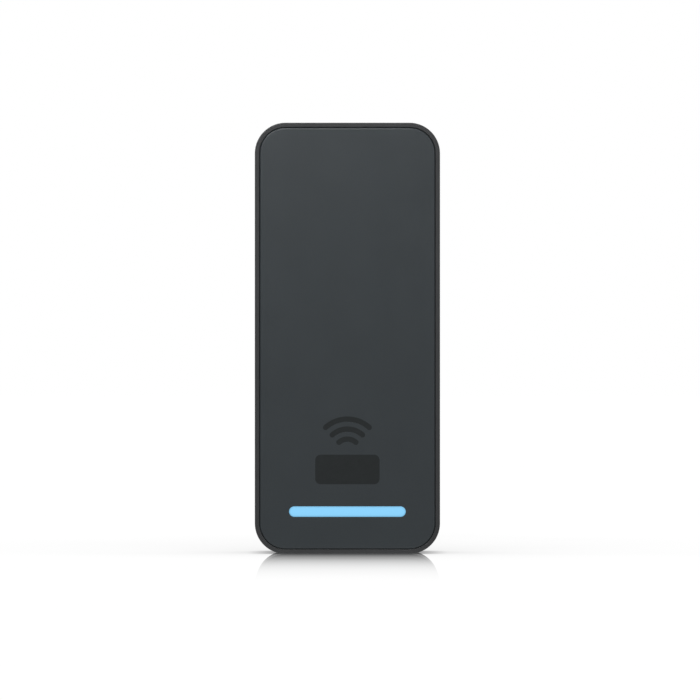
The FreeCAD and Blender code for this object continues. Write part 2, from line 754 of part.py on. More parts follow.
def rear_cover():
    """Closes the head from behind; carries the hooks, the plug bay, the guides and the lock."""
    size = inset(HEAD_SIZE, WALL + COVER_GAP)
    cover = plate(size, INNER_R - COVER_GAP, (COVER_FRONT, COVER_BACK))
    bay_z = (BAY_Z[0] - BAY_WALL, BAY_Z[1] + BAY_WALL)
    bay_shell = box(both_ways(BAY_HALF_WIDTH + BAY_WALL), (BAY_FLOOR[0], COVER_BACK), bay_z)
    guide_tube = rod_y(PLUNGER_POINT, GUIDE_TUBE_R, (COVER_BACK, GUIDE_TUBE_BACK))
    hooks = [hook(centre) for centre in LIP_CENTRES]
    cover = fused([cover, bay_shell, lock_block(), guide_tube] + hooks)
    bay = box(both_ways(BAY_HALF_WIDTH), (BAY_FLOOR[1], COVER_BACK), BAY_Z)
    window_z = (JACK_Z[0] - JACK_GAP, JACK_Z[1] + JACK_GAP)
    window = box(both_ways(JACK_HALF_WIDTH + JACK_GAP), BAY_FLOOR, window_z)
    return cover.cut([bay, window] + cover_holes())


def vent_membrane():
    return rod_y(VENT_POINT, MEMBRANE_R, (COVER_BACK - 0.3, COVER_BACK - 0.1))


def rating_label():
    """Blank label on the rear cover."""
    return plate(LABEL_SIZE, 1.0, (COVER_BACK, COVER_BACK + 0.1), LABEL_CENTRE)


def housing_gasket():
    return gasket_ring()


def cover_inserts():
    """Brass inserts for the cover screws, each with a narrow waist that the plastic grips."""
    bottom = COVER_FRONT - INSERT_LENGTH
    middle = COVER_FRONT - INSERT_LENGTH / 2
    waist_y = (middle - 0.4, middle + 0.4)
    inserts = []
    for point in BOSS_POINTS:
        body = rod_y(point, INSERT_R, (bottom, COVER_FRONT))
        core = rod_y(point, INSERT_R - INSERT_WAIST, waist_y)
        waist = rod_y(point, INSERT_R, waist_y).cut(core)
        bore = rod_y(point, COVER_SCREW_R + 0.06, (bottom, COVER_FRONT))
        inserts.append(body.cut([waist, bore]))
    return Part.makeCompound(inserts)


def pan_screw(point, seat, head, shank_r, length):
    """Pan-head screw driven towards the front, with a cross recess."""
    head_r, head_height = head
    top = seat + head_height
    cap = rod_y(point, head_r, (seat, top))
    cap = cap.makeFillet(0.35 * head_height, edges_at_y(cap, top))
    shank = rod_y(point, shank_r, (seat - length, seat))
    recess = (seat + 0.4 * head_height, top)
    wide = 1.1 * head_r
    narrow = 0.24 * head_r
    slots = [block(point, (wide, narrow), recess), block(point, (narrow, wide), recess)]
    return fused([cap, shank]).cut(slots)


def cover_screws():
    screws = []
    for point in BOSS_POINTS:
        screws.append(
            pan_screw(point, COVER_SCREW_SEAT, COVER_SCREW_HEAD, COVER_SCREW_R, COVER_SCREW_LENGTH)
        )
    return Part.makeCompound(screws)


def board_screws():
    screws = []
    for point in POST_POINTS:
        screws.append(
            pan_screw(point, BOARD_BACK, BOARD_SCREW_HEAD, BOARD_SCREW_R, BOARD_SCREW_LENGTH)
        )
    return Part.makeCompound(screws)


# --- tamper plunger and reset key ---

def tamper_plunger():
    """Pin that rests on the bracket and tells the board when the head leaves the wall."""
    stem = rod_y(PLUNGER_POINT, PLUNGER_R, (PLUNGER_FLANGE[0], PLUNGER_TIP))
    stem = stem.makeFillet(0.98 * PLUNGER_R, edges_at_y(stem, PLUNGER_TIP))
    flange = rod_y(PLUNGER_POINT, PLUNGER_FLANGE_R, PLUNGER_FLANGE)
    nose = rod_y(PLUNGER_POINT, PLUNGER_NOSE_R, (PLUNGER_NOSE, PLUNGER_FLANGE[0]))
    return fused([stem, flange, nose])


def tamper_spring():
    """Short coil spring around the switch, between the board and the plunger's flange."""
    end_gap = SPRING_WIRE_R + 0.02
    start = BOARD_BACK + end_gap
    height = PLUNGER_FLANGE[0] - end_gap - start
    helix = Part.makeHelix(height / SPRING_TURNS, height, SPRING_R)
    wire = Part.makeCircle(SPRING_WIRE_R, FreeCAD.Vector(SPRING_R, 0, 0), ALONG_Y)
    spring = Part.Wire(helix).makePipeShell([Part.Wire(wire)], True, True)
    spring.rotate(FreeCAD.Vector(0, 0, 0), ALONG_X, -90)
    spring.translate(FreeCAD.Vector(PLUNGER_POINT[0], start, PLUNGER_POINT[1]))
    return spring


def tamper_switch():
    dome_y = (TAMPER_SWITCH_BACK - 0.2, TAMPER_SWITCH_BACK)
    body = block(PLUNGER_POINT, (3.0, 3.0), (BOARD_BACK, dome_y[0]))
    return fused([body, rod_y(PLUNGER_POINT, 0.9, dome_y)])


def reset_button():
    """Soft key in the rear cover, pressed towards the board with a fingertip."""
    stem = rod_y(RESET_POINT, RESET_R, (RESET_FLANGE[0], RESET_BACK))
    stem = stem.makeFillet(0.4, edges_at_y(stem, RESET_BACK))
    flange = rod_y(RESET_POINT, RESET_FLANGE_R, RESET_FLANGE)
    nose = rod_y(RESET_POINT, RESET_NOSE_R, (RESET_STEM_Y[1] + 0.02, RESET_FLANGE[0]))
    return fused([stem, flange, nose])


def reset_switch():
    body = block(RESET_POINT, (4.4, 4.4), (BOARD_BACK, RESET_SWITCH_BACK))
    return body.cut(rod_y(RESET_POINT, RESET_STEM_R + 0.06, (BOARD_BACK + 0.2, RESET_SWITCH_BACK)))


def reset_switch_stem():
    return rod_y(RESET_POINT, RESET_STEM_R, RESET_STEM_Y)


# --- lock ---

def security_screw():
    """Pan-head screw with a six-lobe recess and a centre pin, driven upwards from below."""
    head = rod_z(SCREW_HEAD_R, (SCREW_HEAD_BOTTOM, SCREW_HEAD_TOP))
    head = head.makeFillet(0.5, edges_at_z(head, SCREW_HEAD_BOTTOM))
    shank = rod_z(SCREW_R, (SCREW_HEAD_TOP, SCREW_TIP))
    shank = shank.makeChamfer(SCREW_CHAMFER, edges_at_z(shank, SCREW_TIP))
    recess_z = (SCREW_HEAD_BOTTOM, RECESS_TOP)
    recess = [rod_z(RECESS_R, recess_z)]
    for index in range(LOBE_COUNT):
        lobe = rod_z(LOBE_R, recess_z)
        x, y = arc_point((0.0, 0.0), RECESS_R, 360 * index / LOBE_COUNT)
        lobe.translate(FreeCAD.Vector(x, y, 0))
        recess.append(lobe)
    socket = fused(recess).cut(rod_z(CENTRE_PIN_R, recess_z))
    return fused([head, shank]).cut(socket)


def screw_retainer():
    """Nylon ring under the screw head that keeps the loose screw in its well."""
    low = SCREW_HEAD_TOP + 0.02
    z_range = (low, low + RETAINER_HEIGHT)
    return rod_z(RETAINER_R, z_range).cut(rod_z(SCREW_R + 0.05, z_range))


# --- wall bracket and gasket ---

def wall_slots(margin, y_range):
    """Upright slots at the single-gang spacing."""
    size = inset((2 * SLOT_R, SLOT_LENGTH), -margin)
    centres = [(0.0, side * GANG_SPACING / 2) for side in (-1, 1)]
    return [plate(size, size[0] / 2, y_range, centre) for centre in centres]


def wall_holes(margin, y_range):
    """Round holes at the round box's spacing."""
    centres = [(0.0, side * ROUND_BOX_SPACING / 2) for side in (-1, 1)]
    return [rod_y(centre, ROUND_HOLE_R + margin, y_range) for centre in centres]


def lip(centre):
    """Top tab of the bracket: it steps away from the wall, then rises to a rounded edge."""
    x_range = (centre - LIP_WIDTH / 2, centre + LIP_WIDTH / 2)
    front = HINGE_Y - LIP_R
    low = BRACKET_SIZE[1] / 2 - 0.8
    step = box(x_range, (front, BRACKET_BACK), (low, low + SHEET))
    bend = edges_where(step, lambda b: b.YMax < front + TINY and b.ZMax < low + TINY)
    step = step.makeFillet(LIP_R - 0.05, bend)
    upright = box(x_range, (front, HINGE_Y + LIP_R), (low + LIP_R, HINGE_Z))
    return [step, upright, rod_x(LIP_R, x_range)]


def lock_tab():
    """Bottom tab of the bracket, bent forward over the head's lock block."""
    z_range = (TAB_BOTTOM, TAB_BOTTOM + SHEET)
    tab = box(both_ways(TAB_HALF_WIDTH), (TAB_FRONT, BRACKET_BACK), z_range)
    corners = edges_where(tab, lambda b: b.ZLength > 1 and b.YMax < TAB_FRONT + TINY)
    tab = tab.makeFillet(TAB_CORNER_R, corners)
    bend = edges_where(tab, lambda b: b.YMin > BRACKET_BACK - TINY and b.ZMax < TAB_BOTTOM + TINY)
    return tab.makeFillet(BEND_R, bend)


def side_flange(side):
    """Folded side of the bracket, which stiffens it."""
    edge = side * BRACKET_SIZE[0] / 2
    x_range = sorted((edge, edge - side * SHEET))
    flange = box(x_range, (FLANGE_FRONT, BRACKET_BACK), both_ways(FLANGE_HALF_LENGTH))
    corners = edges_where(flange, lambda b: b.XLength > 1 and b.YMax < FLANGE_FRONT + TINY)
    return flange.makeFillet(FLANGE_CORNER_R, corners)


def wall_bracket():
    """Stamped steel plate with folded sides, two hinge lips at the top and a lock tab below."""
    y_range = (BRACKET_FRONT, BRACKET_BACK)
    base = plate(BRACKET_SIZE, BRACKET_R, y_range)
    opening = plate(CABLE_OPENING, CABLE_OPENING_R, y_range, CABLE_OPENING_CENTRE)
    relief = box(both_ways(TAB_HALF_WIDTH + TAB_SIDE_GAP), y_range, (-BRACKET_SIZE[1] / 2, TAB_BOTTOM))
    base = base.cut([opening, relief] + wall_slots(0, y_range) + wall_holes(0, y_range))
    folds = [lock_tab(), side_flange(-1), side_flange(1)]
    for centre in LIP_CENTRES:
        folds += lip(centre)
    return fused([base] + folds).cut(rod_z(SCREW_R + THREAD_GAP, (TAB_BOTTOM, TAB_BOTTOM + SHEET)))


def bracket_nut():
    """Clinch nut on the lock tab."""
    low = TAB_BOTTOM + SHEET
    z_range = (low, low + NUT_HEIGHT)
    nut = rod_z(NUT_R, z_range)
    nut = nut.makeChamfer(0.25, edges_at_z(nut, z_range[1]))
    return nut.cut(rod_z(SCREW_R + THREAD_GAP, z_range))


def wall_gasket():
    """Closed-cell foam between the bracket and the wall."""
    y_range = (BRACKET_BACK, 0.0)
    sheet = plate(inset(BRACKET_SIZE, -GASKET_MARGIN), BRACKET_R + GASKET_MARGIN, y_range)
    opening_size = inset(CABLE_OPENING, -GASKET_MARGIN)
    opening = plate(opening_size, CABLE_OPENING_R + GASKET_MARGIN, y_range, CABLE_OPENING_CENTRE)
    holes = wall_slots(GASKET_HOLE_MARGIN, y_range) + wall_holes(GASKET_HOLE_MARGIN, y_range)
    return sheet.cut([opening] + holes)


PIECES = (
    housing,
    front_panel,
    panel_adhesive,
    card_symbol,
    light_bar_lens,
    light_guide,
    status_leds,
    main_board,
    board_screws,
    antenna_board,
    antenna_coil,
    ferrite_sheet,
    antenna_header,
    processor_chip,
    nfc_chip,
    radio_shield,
    bluetooth_antenna,
    poe_controller,
    poe_transformer,
    power_inductor,
    filter_capacitors,
    ethernet_transformer,
    buzzer,
    jack_shell,
    jack_insert,
    jack_contacts,
    jack_gasket,
    rear_cover,
    vent_membrane,
    rating_label,
    housing_gasket,
    cover_inserts,
    cover_screws,
    tamper_plunger,
    tamper_spring,
    tamper_switch,
    reset_button,
    reset_switch,
    reset_switch_stem,
    security_screw,
    screw_retainer,
    wall_bracket,
    bracket_nut,
    wall_gasket,
)

os.makedirs("parts", exist_ok=True)
for piece in PIECES:
    piece().exportStep("parts/" + piece.__name__ + ".step")
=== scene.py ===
"""A wall-mounted card reader: finishes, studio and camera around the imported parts.

All lengths are metres in the CAD frame: +Z up, +Y into the wall, the front face looks along -Y.
"""
import math

import bpy
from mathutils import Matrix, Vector, noise


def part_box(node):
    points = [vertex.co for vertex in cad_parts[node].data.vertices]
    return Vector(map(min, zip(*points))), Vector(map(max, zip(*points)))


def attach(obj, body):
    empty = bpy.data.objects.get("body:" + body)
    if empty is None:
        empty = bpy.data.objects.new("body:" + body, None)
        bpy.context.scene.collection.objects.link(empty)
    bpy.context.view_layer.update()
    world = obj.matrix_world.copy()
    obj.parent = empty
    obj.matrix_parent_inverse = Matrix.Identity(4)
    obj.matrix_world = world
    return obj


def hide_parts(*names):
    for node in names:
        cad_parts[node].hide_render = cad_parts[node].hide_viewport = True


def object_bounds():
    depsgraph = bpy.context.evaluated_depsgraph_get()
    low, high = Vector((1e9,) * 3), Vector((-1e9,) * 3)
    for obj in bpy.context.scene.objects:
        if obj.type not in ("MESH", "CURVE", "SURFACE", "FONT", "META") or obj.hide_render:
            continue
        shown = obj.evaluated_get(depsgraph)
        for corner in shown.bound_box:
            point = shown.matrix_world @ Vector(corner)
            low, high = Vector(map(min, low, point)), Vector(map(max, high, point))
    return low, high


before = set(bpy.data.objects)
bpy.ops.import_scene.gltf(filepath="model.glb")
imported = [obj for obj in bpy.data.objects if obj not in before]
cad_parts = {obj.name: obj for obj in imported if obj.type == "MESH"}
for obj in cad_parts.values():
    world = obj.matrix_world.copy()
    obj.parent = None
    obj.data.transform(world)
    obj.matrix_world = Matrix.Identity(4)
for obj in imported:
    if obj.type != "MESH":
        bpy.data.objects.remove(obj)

CAD_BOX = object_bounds()
MM = 0.001
WHITE = (1.0, 1.0, 1.0)

# Camera: level, far in front of the face, a little right of and below the middle of the reader
CAMERA_DISTANCE = 1200 * MM
CAMERA_ASIDE = 0.70 * MM
CAMERA_DROP = 3.16 * MM
FRAMED_WIDTH = 188.93 * MM        # width seen at the front face
SENSOR = 36.0

# Floor: its reflection is strongest at the foot of the reader and gone a hand's width in front
FLOOR_HALF_SIDE = 4.0
FLOOR_BOUNCE = 0.52               # what it throws back up at the reader
FOOT_BOUNCE = 0.4                 # and how much more of it right at the foot
FOOT_SPREAD = 2.0 * MM
MIRROR_AT_FOOT = 1.10
MIRROR_FADE = 70 * MM
MIRROR_SOFT_END = 90 * MM
SHADOWS = ((5 * MM, 0.34), (140 * MM, 0.42))    # how far each looks, and how dark it gets
SHADOW_AHEAD = 14 * MM
SHADOW_TINT = (0.03, 0.03, 0.032)

# Soft light of the room as it falls on the reader, by direction
ROOM_LOW = 0.10                   # from ROOM_LOWEST up, rising to ROOM_HIGH straight above
ROOM_HIGH = 0.55
ROOM_LOWEST = -0.3
ROOM_SIDES = 0.45                 # share of it left at either side, falling from ROOM_FRONT on
ROOM_FRONT = 0.3

# Softboxes: name, place, the point it faces, its two sides (all metres) and its power in watts
SOFTBOXES = (
    ("key", (-0.10, -0.34, 0.24), (0.0, -0.02, 0.035), (0.26, 0.20), 1.0),
    ("top_left", (-0.26, 0.03, 0.30), (0.0, -0.01, 0.04), (0.14, 0.14), 0.7),
    ("overhead", (-0.02, -0.05, 0.42), (0.0, -0.02, 0.0), (0.30, 0.16), 0.5),
    ("fill_right", (0.75, -0.85, 0.45), (0.0, -0.01, 0.0), (0.7, 0.7), 2.2),
    ("back_left", (-0.6, 0.8, 0.6), (0.0, 0.0, 0.0), (0.7, 0.7), 6.0),
    ("back_right", (0.8, 0.6, 0.4), (0.0, 0.0, 0.0), (0.5, 0.5), 3.5),
)

# Foam gasket: the grid it is remade on, how far its edges are eased, and its uneven skin
FOAM_GRID = 0.32 * MM
FOAM_EASING = 0.5
FOAM_EASING_STEPS = 4
FOAM_SWELL = 0.02 * MM
FOAM_SWELL_SPREAD = 1.4 * MM


# ---------------------------------------------------------------- node helpers

class Nodes:
    """An emptied shader tree, with short ways to add nodes and links."""

    def __init__(self, tree, output):
        self.tree = tree
        tree.nodes.clear()
        self.output = self.node(output)

    def node(self, kind, **settings):
        made = self.tree.nodes.new(kind)
        for name, value in settings.items():
            setattr(made, name, value)
        return made

    def join(self, source, target):
        self.tree.links.new(source, target)

    def feed(self, target, value):
        if isinstance(value, bpy.types.NodeSocket):
            self.join(value, target)
        else:
            target.default_value = value

    def math(self, operation, *values, clamp=False):
        made = self.node("ShaderNodeMath", operation=operation, use_clamp=clamp)
        for target, value in zip(made.inputs, values):
            self.feed(target, value)
        return made.outputs[0]

    def length(self, one, other):
        squares = [self.math("MULTIPLY", side, side) for side in (one, other)]
        return self.math("SQRT", self.math("ADD", *squares))

    def span(self, value, low, high, first=0.0, last=1.0, easing="SMOOTHSTEP"):
        """value from low to high becomes first to last, clamped and eased."""
        made = self.node("ShaderNodeMapRange", interpolation_type=easing)
        for target, part in zip(made.inputs, (value, low, high, first, last)):
            self.feed(target, part)
        return made.outputs[0]

    def mix(self, share, first, second, blend="MIX"):
        made = self.node("ShaderNodeMix", data_type="RGBA", blend_type=blend)
        self.feed(made.inputs[0], share)
        self.feed(made.inputs[6], first)
        self.feed(made.inputs[7], second)
        return made.outputs[2]

    def rays(self, *kinds):
        """1 where the ray is any of the named kinds."""
        path = self.node("ShaderNodeLightPath")
        value = path.outputs[kinds[0]]
        for kind in kinds[1:]:
            value = self.math("MAXIMUM", value, path.outputs[kind])
        return value

    def show(self, share, first, second):
        """Ends the tree in a mix of two shaders."""
        both = self.node("ShaderNodeMixShader")
        for source, target in zip((share, first.outputs[0], second.outputs[0]), both.inputs):
            self.join(source, target)
        self.join(both.outputs[0], self.output.inputs["Surface"])


class Surface(Nodes):
    """A Principled material whose sockets are fed from small procedural patterns.

    Sizes are in metres in the piece's own frame, so a pattern stays on its piece in every pose.
    """

    def __init__(self, name, colour, roughness, metallic=0.0, **sockets):
        self.material = bpy.data.materials.new(name)
        self.material.use_nodes = True
        self.material.diffuse_color = (*colour, 1.0)
        super().__init__(self.material.node_tree, "ShaderNodeOutputMaterial")
        self.shader = self.node("ShaderNodeBsdfPrincipled")
        self.join(self.shader.outputs["BSDF"], self.output.inputs["Surface"])
        self.place = self.node("ShaderNodeTexCoord").outputs["Object"]
        self.normal = None
        self.colour = (*colour, 1.0)
        self.roughness = roughness
        self.shader.inputs["Base Color"].default_value = self.colour
        self.shader.inputs["Metallic"].default_value = metallic
        for socket, value in sockets.items():
            self.shader.inputs[socket.replace("_", " ")].default_value = value

    def stretched(self, size, stretch):
        """Coordinates in units of one feature, longer along the axes with a larger stretch."""
        made = self.node("ShaderNodeMapping")
        self.join(self.place, made.inputs["Vector"])
        made.inputs["Scale"].default_value = [1 / (size * part) for part in stretch]
        return made.outputs[0]

    def cloud(self, size, detail=2.0, roughness=0.5, stretch=(1, 1, 1), warp=0.0):
        """Soft noise from 0 to 1 with features of about the given size."""
        made = self.node("ShaderNodeTexNoise")
        self.join(self.stretched(size, stretch), made.inputs["Vector"])
        made.inputs["Scale"].default_value = 1.0
        made.inputs["Detail"].default_value = detail
        made.inputs["Roughness"].default_value = roughness
        made.inputs["Distortion"].default_value = warp
        return made.outputs["Fac"]

    def cells(self, size, feature="F1", stretch=(1, 1, 1), output="Distance"):
        made = self.node("ShaderNodeTexVoronoi", feature=feature)
        self.join(self.stretched(size, stretch), made.inputs["Vector"])
        made.inputs["Scale"].default_value = 1.0
        return made.outputs[output]

    def axis(self, letter):
        made = self.node("ShaderNodeSeparateXYZ")
        self.join(self.place, made.inputs[0])
        return made.outputs[letter.upper()]

    def tint(self, share, colour):
        """Moves the base colour towards another one."""
        self.colour = self.mix(share, self.colour, (*colour, 1.0))

    def shade(self, value, low, high):
        """Multiplies the base colour by low to high as value goes from 0 to 1."""
        factor = self.span(value, 0.25, 0.75, low, high)
        made = self.node("ShaderNodeCombineColor")
        for target in made.inputs:
            self.join(factor, target)
        self.colour = self.mix(1.0, self.colour, made.outputs[0], "MULTIPLY")

    def roughen(self, value, change):
        """Adds up to plus or minus half of change to the roughness."""
        offset = self.math("MULTIPLY_ADD", value, change, -change / 2)
        self.roughness = self.math("ADD", self.roughness, offset, clamp=True)

    def bump(self, height, depth):
        made = self.node("ShaderNodeBump")
        made.inputs["Strength"].default_value = 1.0
        made.inputs["Distance"].default_value = depth
        self.join(height, made.inputs["Height"])
        if self.normal is not None:
            self.join(self.normal, made.inputs["Normal"])
        self.normal = made.outputs[0]

    def edges(self, radius):
        """1 on edges sharper than about the radius, 0 on flats."""
        rounded = self.node("ShaderNodeBevel", samples=4)
        rounded.inputs["Radius"].default_value = radius
        here = self.node("ShaderNodeNewGeometry").outputs["Normal"]
        dot = self.node("ShaderNodeVectorMath", operation="DOT_PRODUCT")
        self.join(rounded.outputs[0], dot.inputs[0])
        self.join(here, dot.inputs[1])
        return self.span(dot.outputs["Value"], 0.995, 0.90)

    def wear(self, radius, colour, amount, polish=0.0):
        """Rubbed edges: broken up by noise, lighter, and a little smoother."""
        broken = self.span(self.cloud(1.6 * MM, 4.0, 0.6), 0.42, 0.62)
        worn = self.math("MULTIPLY", self.edges(radius), broken)
        worn = self.math("MULTIPLY", worn, amount)
        self.tint(worn, colour)
        self.roughness = self.math("MULTIPLY_ADD", worn, -polish, self.roughness, clamp=True)

    def done(self):
        self.feed(self.shader.inputs["Base Color"], self.colour)
        self.feed(self.shader.inputs["Roughness"], self.roughness)
        if self.normal is not None:
            self.join(self.normal, self.shader.inputs["Normal"])
        return self.material


# ---------------------------------------------------------------- families of finish

def moulded(name, colour, roughness, grain, depth, mottle=0.06, wear=0.0, waves=4e-6, **sockets):
    """Injection-moulded plastic: spark-eroded grain, slight flow waves and faint handling marks."""
    s = Surface(name, colour, roughness, **sockets)
    s.shade(s.cloud(14 * MM, 3.0), 1 - mottle, 1 + mottle)
    s.shade(s.cloud(0.35 * MM, 2.0), 1 - mottle, 1 + mottle)
    s.roughen(s.cloud(7 * MM, 4.0, 0.6, (1, 1, 1.6), 0.4), 0.10)
    s.roughen(s.cloud(grain * 2, 2.0), 0.10)
    if wear:
        light = [min(1.0, 2.2 * part + 0.02) for part in colour]
        s.wear(0.35 * MM, light, wear, 0.12)
    if waves:
        s.bump(s.cloud(9 * MM, 1.0), waves)
    s.bump(s.cloud(grain, 3.0, 0.6), depth)
    return s


def plated(name, colour, roughness, grain=(1, 1, 1), scratch=1.5e-6, tarnish=0.12, wear=0.0):
    """Bare or plated metal: drawn grain along one axis, fine scratches, cloudy tarnish."""
    s = Surface(name, colour, roughness, metallic=1.0)
    s.shade(s.cloud(2.5 * MM, 4.0, 0.6), 1 - tarnish, 1 + tarnish / 2)
    s.roughen(s.cloud(1.2 * MM, 4.0, 0.6, grain), 0.14)
    s.bump(s.cloud(0.05 * MM, 2.0, 0.6, grain), scratch)
    hairline = s.span(s.cloud(0.3 * MM, 1.0, 0.5, (1, 1, 14), 1.5), 0.60, 0.66)
    s.roughen(hairline, 0.10)
    if wear:
        s.wear(0.15 * MM, WHITE, wear, 0.1)
    return s


def foam(name, colour, cell):
    """Closed-cell foam: a skin of small bubbles with a few larger pits; painted shade darkens the
    hollow of each bubble and pit.
    """
    s = Surface(name, colour, 0.88, Specular_IOR_Level=0.25, Sheen_Weight=0.15)
    bubbles = s.cells(cell, "SMOOTH_F1")
    pits = s.span(s.cells(cell * 3.5), 0.10, 0.26)
    # painted shade and light: darker in each bubble's hollow and lighter on its rim, darker still
    # in the pits
    s.shade(bubbles, 0.72, 1.25)
    s.shade(pits, 0.55, 1.02)
    s.shade(s.cloud(6 * MM, 3.0), 0.92, 1.08)
    s.bump(bubbles, cell * 0.25)
    s.bump(pits, cell * 0.3)
    return s


# ---------------------------------------------------------------- one finish per material slot

def housing_plastic(name):
    s = moulded(name, (0.0345, 0.0359, 0.0377), 0.56, 0.16 * MM, 6e-6, 0.05, wear=0.12,
                Specular_IOR_Level=0.30)
    return s.done()


def panel_plastic(name):
    s = moulded(name, (0.0243, 0.0313, 0.0358), 0.38, 0.09 * MM, 1.6e-6, 0.035, wear=0.08,
                waves=2e-6)
    return s.done()


def symbol_print(name):
    """Dark pad-printed ink: thin, with a screen-like dot structure and slightly uneven gloss."""
    s = Surface(name, (0.0110, 0.0140, 0.0148), 0.42, Specular_IOR_Level=0.33)
    s.shade(s.cells(0.18 * MM), 0.9, 1.1)
    s.shade(s.cloud(3 * MM, 3.0), 0.94, 1.06)
    s.roughen(s.cloud(1.5 * MM, 3.0), 0.12)
    s.bump(s.cloud(0.12 * MM, 2.0), 1.2e-6)
    return s.done()


def lit_lens(name):
    """Frosted light bar lit from behind: even sky blue, a little dimmer towards its rim."""
    s = Surface(name, (0.25, 0.50, 0.72), 0.32, IOR=1.49)
    low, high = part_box("light_bar_lens")
    middle = (low + high) / 2
    flange = 1.0 * MM
    half_height = (high.z - low.z) / 2 - flange
    half_length = (high.x - low.x) / 2 - flange
    across = s.math("ABSOLUTE", s.math("SUBTRACT", s.axis("z"), middle.z))
    along = s.math("ABSOLUTE", s.math("SUBTRACT", s.axis("x"), middle.x))
    along = s.math("MAXIMUM", s.math("SUBTRACT", along, half_length - half_height), 0.0)
    reach = s.length(along, across)
    body = s.span(reach, half_height * 0.60, half_height * 1.02, 1.0, 0.80)
    lower = s.span(s.axis("z"), middle.z - half_height, middle.z, 0.95, 1.0)
    grain = s.span(s.cloud(0.5 * MM, 2.0), 0.2, 0.8, 0.985, 1.015)
    strength = s.math("MULTIPLY", s.math("MULTIPLY", body, lower), grain)
    s.shader.inputs["Emission Color"].default_value = (0.238, 0.615, 0.930, 1.0)
    s.join(strength, s.shader.inputs["Emission Strength"])
    s.shade(s.cloud(0.4 * MM, 2.0), 0.95, 1.05)
    s.roughen(s.cloud(2 * MM, 3.0), 0.08)
    s.bump(s.cloud(0.1 * MM, 2.0), 1.5e-6)
    s.tint(0.92, (0.0, 0.0, 0.0))        # the bar returns hardly any of the room's light
    return s.done()


def diffuser(name):
    s = moulded(name, (0.82, 0.84, 0.85), 0.38, 0.10 * MM, 2e-6, 0.02, Subsurface_Weight=0.4,
                Subsurface_Scale=1.5 * MM)
    return s.done()


def led_package(name):
    """White moulded cups with a yellow phosphor disc in the middle of each."""
    s = moulded(name, (0.80, 0.79, 0.74), 0.40, 0.08 * MM, 1.5e-6, 0.03)
    low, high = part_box("status_leds")
    front = s.span(s.axis("y"), low.y + 0.02 * MM, low.y + 0.10 * MM, 1.0, 0.0)
    s.tint(s.math("MULTIPLY", front, 0.75), (0.85, 0.62, 0.10))
    return s.done()


def adhesive(name):
    s = Surface(name, (0.030, 0.030, 0.031), 0.62, Coat_Weight=0.3, Coat_Roughness=0.35)
    s.shade(s.cloud(0.8 * MM, 4.0), 0.80, 1.20)
    s.roughen(s.cloud(2.5 * MM, 3.0), 0.2)
    s.bump(s.cells(0.6 * MM, "SMOOTH_F1"), 12e-6)
    return s.done()


def circuit_board(name):
    """Glossy green solder mask over copper: traces on a grid, ground fill and plated vias."""
    s = Surface(name, (0.010, 0.075, 0.035), 0.34, Coat_Weight=0.5, Coat_Roughness=0.12)
    pitch = 0.9 * MM
    upright = s.span(s.cells(pitch, "F1", (0.55, 4.0, 9.0), "Color"), 0.50, 0.52)
    level = s.span(s.cells(pitch, "F1", (8.0, 4.0, 0.6), "Color"), 0.52, 0.54)
    traces = s.math("MAXIMUM", upright, level)
    via = s.span(s.cells(2.6 * MM, "F1", (1, 40, 1)), 0.10, 0.13, 1.0, 0.0)
    fill = s.span(s.cloud(18 * MM, 1.0, 0.5, (1, 9, 1)), 0.47, 0.50)
    s.tint(s.math("MULTIPLY", traces, 0.55), (0.020, 0.150, 0.065))
    s.tint(s.math("MULTIPLY", fill, 0.30), (0.016, 0.120, 0.052))
    s.tint(via, (0.62, 0.47, 0.20))
    s.shade(s.cloud(0.25 * MM, 3.0), 0.9, 1.1)
    s.roughen(s.cloud(3 * MM, 3.0), 0.12)
    s.bump(traces, 18e-6)
    s.bump(via, 25e-6)
    return s.done()


def copper(name):
    s = plated(name, (0.86, 0.42, 0.24), 0.30, (1, 1, 1), 1e-6, 0.18)
    s.tint(s.span(s.cloud(1.8 * MM, 4.0), 0.55, 0.75, 0.0, 0.4), (0.35, 0.14, 0.08))
    return s.done()


def ferrite(name):
    s = Surface(name, (0.045, 0.043, 0.042), 0.58)
    s.shade(s.cells(0.22 * MM, "F1", (1, 1, 1), "Color"), 0.75, 1.3)
    s.shade(s.cloud(5 * MM, 3.0), 0.85, 1.1)
    s.roughen(s.cells(0.3 * MM, "F1", (1, 1, 1), "Color"), 0.25)
    s.bump(s.cloud(0.12 * MM, 4.0, 0.65), 10e-6)
    s.wear(0.3 * MM, (0.16, 0.155, 0.15), 0.5)
    return s.done()


def connector_plastic(name):
    return moulded(name, (0.022, 0.022, 0.023), 0.42, 0.12 * MM, 4e-6, 0.08, wear=0.4).done()


def screw_steel(name):
    s = plated(name, (0.70, 0.70, 0.68), 0.30, (1, 6, 1), 1.5e-6, 0.12, wear=0.3)
    s.tint(s.span(s.cloud(2.2 * MM, 2.0), 0.45, 0.75, 0.0, 0.25), (0.78, 0.72, 0.52))
    return s.done()


def chip_plastic(name):
    """Black moulding compound: matt, with glassy filler specks."""
    s = Surface(name, (0.020, 0.020, 0.021), 0.55)
    s.shade(s.cells(0.10 * MM, "F1", (1, 1, 1), "Color"), 0.7, 1.5)
    s.roughen(s.cloud(1.5 * MM, 3.0), 0.15)
    s.bump(s.cloud(0.07 * MM, 3.0, 0.6), 4e-6)
    s.wear(0.2 * MM, (0.09, 0.09, 0.09), 0.4)
    return s.done()


def tinned_steel(name):
    s = plated(name, (0.76, 0.75, 0.71), 0.32, (1, 1, 7), 1.5e-6, 0.14, wear=0.3)
    stain = s.cloud(4 * MM, 3.0, 0.5, (1, 1, 1), 1.0)
    s.tint(s.span(stain, 0.52, 0.70, 0.0, 0.35), (0.50, 0.49, 0.47))
    return s.done()


def can_aluminium(name):
    return plated(name, (0.84, 0.85, 0.86), 0.26, (8, 1, 8), 1.2e-6, 0.08, wear=0.2).done()


